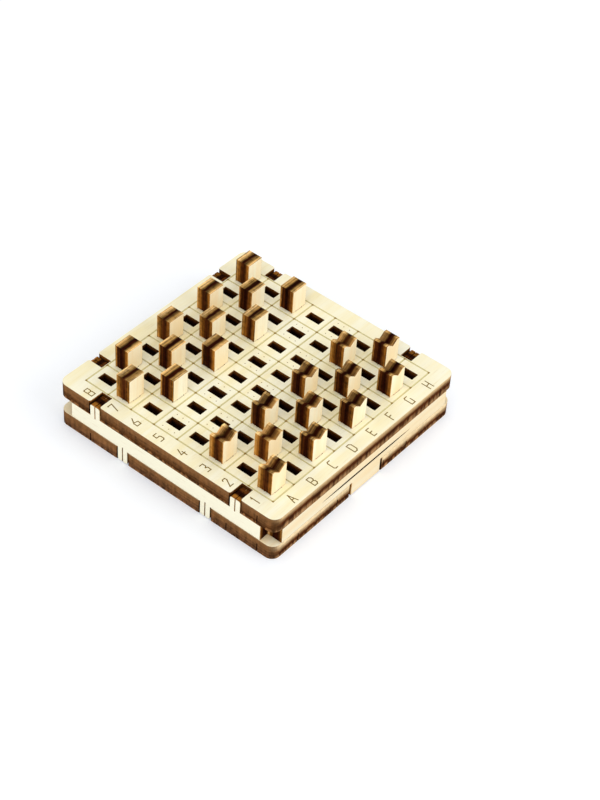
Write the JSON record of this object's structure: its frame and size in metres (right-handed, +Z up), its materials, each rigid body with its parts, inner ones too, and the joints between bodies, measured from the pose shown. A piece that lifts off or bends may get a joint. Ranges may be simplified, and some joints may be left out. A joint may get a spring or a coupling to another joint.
{
  "type": "travel checkers board",
  "caption": "Pocket checkers set of laser-cut plywood: a slotted board over a shallow peg tray with a push-fit front strip, and flat-topped and V-notched pegs standing in the slots.",
  "frame": {"origin": "centre of the base plate's underside, on the surface that the set stands on", "axes": "+X from file A to file H, +Y from rank 1 to rank 8, +Z up; the front strip faces -Y"},
  "size_m": [0.0648, 0.0648, 0.0191],
  "materials": {
    "board_veneer": "bare sanded birch plywood with scorched cut edges",
    "base_veneer": "bare sanded birch plywood with scorched cut edges",
    "wall_veneer": "bare sanded birch plywood with scorched cut edges",
    "door_veneer": "bare sanded birch plywood with scorched cut edges",
    "plain_peg_veneer": "bare sanded birch plywood with scorched cut edges",
    "notched_peg_veneer": "bare sanded birch plywood with scorched cut edges"
  },
  "bodies": {
    "board_box": {"top_plate": "board_veneer", "base_plate": "base_veneer", "left_wall": "wall_veneer", "back_wall": "wall_veneer", "right_wall": "wall_veneer"},
    "front_door": {"front_door": "door_veneer"},
    "plain_peg_b6": {"plain_peg_b6": "plain_peg_veneer"},
    "plain_peg_d6": {"plain_peg_d6": "plain_peg_veneer"},
    "plain_peg_f6": {"plain_peg_f6": "plain_peg_veneer"},
    "plain_peg_h6": {"plain_peg_h6": "plain_peg_veneer"},
    "plain_peg_a7": {"plain_peg_a7": "plain_peg_veneer"},
    "plain_peg_c7": {"plain_peg_c7": "plain_peg_veneer"},
    "plain_peg_e7": {"plain_peg_e7": "plain_peg_veneer"},
    "plain_peg_g7": {"plain_peg_g7": "plain_peg_veneer"},
    "plain_peg_b8": {"plain_peg_b8": "plain_peg_veneer"},
    "plain_peg_d8": {"plain_peg_d8": "plain_peg_veneer"},
    "plain_peg_f8": {"plain_peg_f8": "plain_peg_veneer"},
    "plain_peg_h8": {"plain_peg_h8": "plain_peg_veneer"},
    "notched_peg_a1": {"notched_peg_a1": "notched_peg_veneer"},
    "notched_peg_c1": {"notched_peg_c1": "notched_peg_veneer"},
    "notched_peg_e1": {"notched_peg_e1": "notched_peg_veneer"},
    "notched_peg_g1": {"notched_peg_g1": "notched_peg_veneer"},
    "notched_peg_b2": {"notched_peg_b2": "notched_peg_veneer"},
    "notched_peg_d2": {"notched_peg_d2": "notched_peg_veneer"},
    "notched_peg_f2": {"notched_peg_f2": "notched_peg_veneer"},
    "notched_peg_h2": {"notched_peg_h2": "notched_peg_veneer"},
    "notched_peg_a3": {"notched_peg_a3": "notched_peg_veneer"},
    "notched_peg_c3": {"notched_peg_c3": "notched_peg_veneer"},
    "notched_peg_e3": {"notched_peg_e3": "notched_peg_veneer"},
    "notched_peg_g3": {"notched_peg_g3": "notched_peg_veneer"}
  },
  "joints": [
    {"name": "front_door_slide", "type": "slide", "parent": "board_box", "child": "front_door", "axis": [0, -1, 0], "range_m": [0, 0.01]},
    {"name": "plain_peg_b6_lift", "type": "slide", "parent": "board_box", "child": "plain_peg_b6", "axis": [0, 0, 1], "range_m": [0, 0.012]},
    {"name": "plain_peg_d6_lift", "type": "slide", "parent": "board_box", "child": "plain_peg_d6", "axis": [0, 0, 1], "range_m": [0, 0.012]},
    {"name": "plain_peg_f6_lift", "type": "slide", "parent": "board_box", "child": "plain_peg_f6", "axis": [0, 0, 1], "range_m": [0, 0.012]},
    {"name": "plain_peg_h6_lift", "type": "slide", "parent": "board_box", "child": "plain_peg_h6", "axis": [0, 0, 1], "range_m": [0, 0.012]},
    {"name": "plain_peg_a7_lift", "type": "slide", "parent": "board_box", "child": "plain_peg_a7", "axis": [0, 0, 1], "range_m": [0, 0.012]},
    {"name": "plain_peg_c7_lift", "type": "slide", "parent": "board_box", "child": "plain_peg_c7", "axis": [0, 0, 1], "range_m": [0, 0.012]},
    {"name": "plain_peg_e7_lift", "type": "slide", "parent": "board_box", "child": "plain_peg_e7", "axis": [0, 0, 1], "range_m": [0, 0.012]},
    {"name": "plain_peg_g7_lift", "type": "slide", "parent": "board_box", "child": "plain_peg_g7", "axis": [0, 0, 1], "range_m": [0, 0.012]},
    {"name": "plain_peg_b8_lift", "type": "slide", "parent": "board_box", "child": "plain_peg_b8", "axis": [0, 0, 1], "range_m": [0, 0.012]},
    {"name": "plain_peg_d8_lift", "type": "slide", "parent": "board_box", "child": "plain_peg_d8", "axis": [0, 0, 1], "range_m": [0, 0.012]},
    {"name": "plain_peg_f8_lift", "type": "slide", "parent": "board_box", "child": "plain_peg_f8", "axis": [0, 0, 1], "range_m": [0, 0.012]},
    {"name": "plain_peg_h8_lift", "type": "slide", "parent": "board_box", "child": "plain_peg_h8", "axis": [0, 0, 1], "range_m": [0, 0.012]},
    {"name": "notched_peg_a1_lift", "type": "slide", "parent": "board_box", "child": "notched_peg_a1", "axis": [0, 0, 1], "range_m": [0, 0.012]},
    {"name": "notched_peg_c1_lift", "type": "slide", "parent": "board_box", "child": "notched_peg_c1", "axis": [0, 0, 1], "range_m": [0, 0.012]},
    {"name": "notched_peg_e1_lift", "type": "slide", "parent": "board_box", "child": "notched_peg_e1", "axis": [0, 0, 1], "range_m": [0, 0.012]},
    {"name": "notched_peg_g1_lift", "type": "slide", "parent": "board_box", "child": "notched_peg_g1", "axis": [0, 0, 1], "range_m": [0, 0.012]},
    {"name": "notched_peg_b2_lift", "type": "slide", "parent": "board_box", "child": "notched_peg_b2", "axis": [0, 0, 1], "range_m": [0, 0.012]},
    {"name": "notched_peg_d2_lift", "type": "slide", "parent": "board_box", "child": "notched_peg_d2", "axis": [0, 0, 1], "range_m": [0, 0.012]},
    {"name": "notched_peg_f2_lift", "type": "slide", "parent": "board_box", "child": "notched_peg_f2", "axis": [0, 0, 1], "range_m": [0, 0.012]},
    {"name": "notched_peg_h2_lift", "type": "slide", "parent": "board_box", "child": "notched_peg_h2", "axis": [0, 0, 1], "range_m": [0, 0.012]},
    {"name": "notched_peg_a3_lift", "type": "slide", "parent": "board_box", "child": "notched_peg_a3", "axis": [0, 0, 1], "range_m": [0, 0.012]},
    {"name": "notched_peg_c3_lift", "type": "slide", "parent": "board_box", "child": "notched_peg_c3", "axis": [0, 0, 1], "range_m": [0, 0.012]},
    {"name": "notched_peg_e3_lift", "type": "slide", "parent": "board_box", "child": "notched_peg_e3", "axis": [0, 0, 1], "range_m": [0, 0.012]},
    {"name": "notched_peg_g3_lift", "type": "slide", "parent": "board_box", "child": "notched_peg_g3", "axis": [0, 0, 1], "range_m": [0, 0.012]}
  ]
}
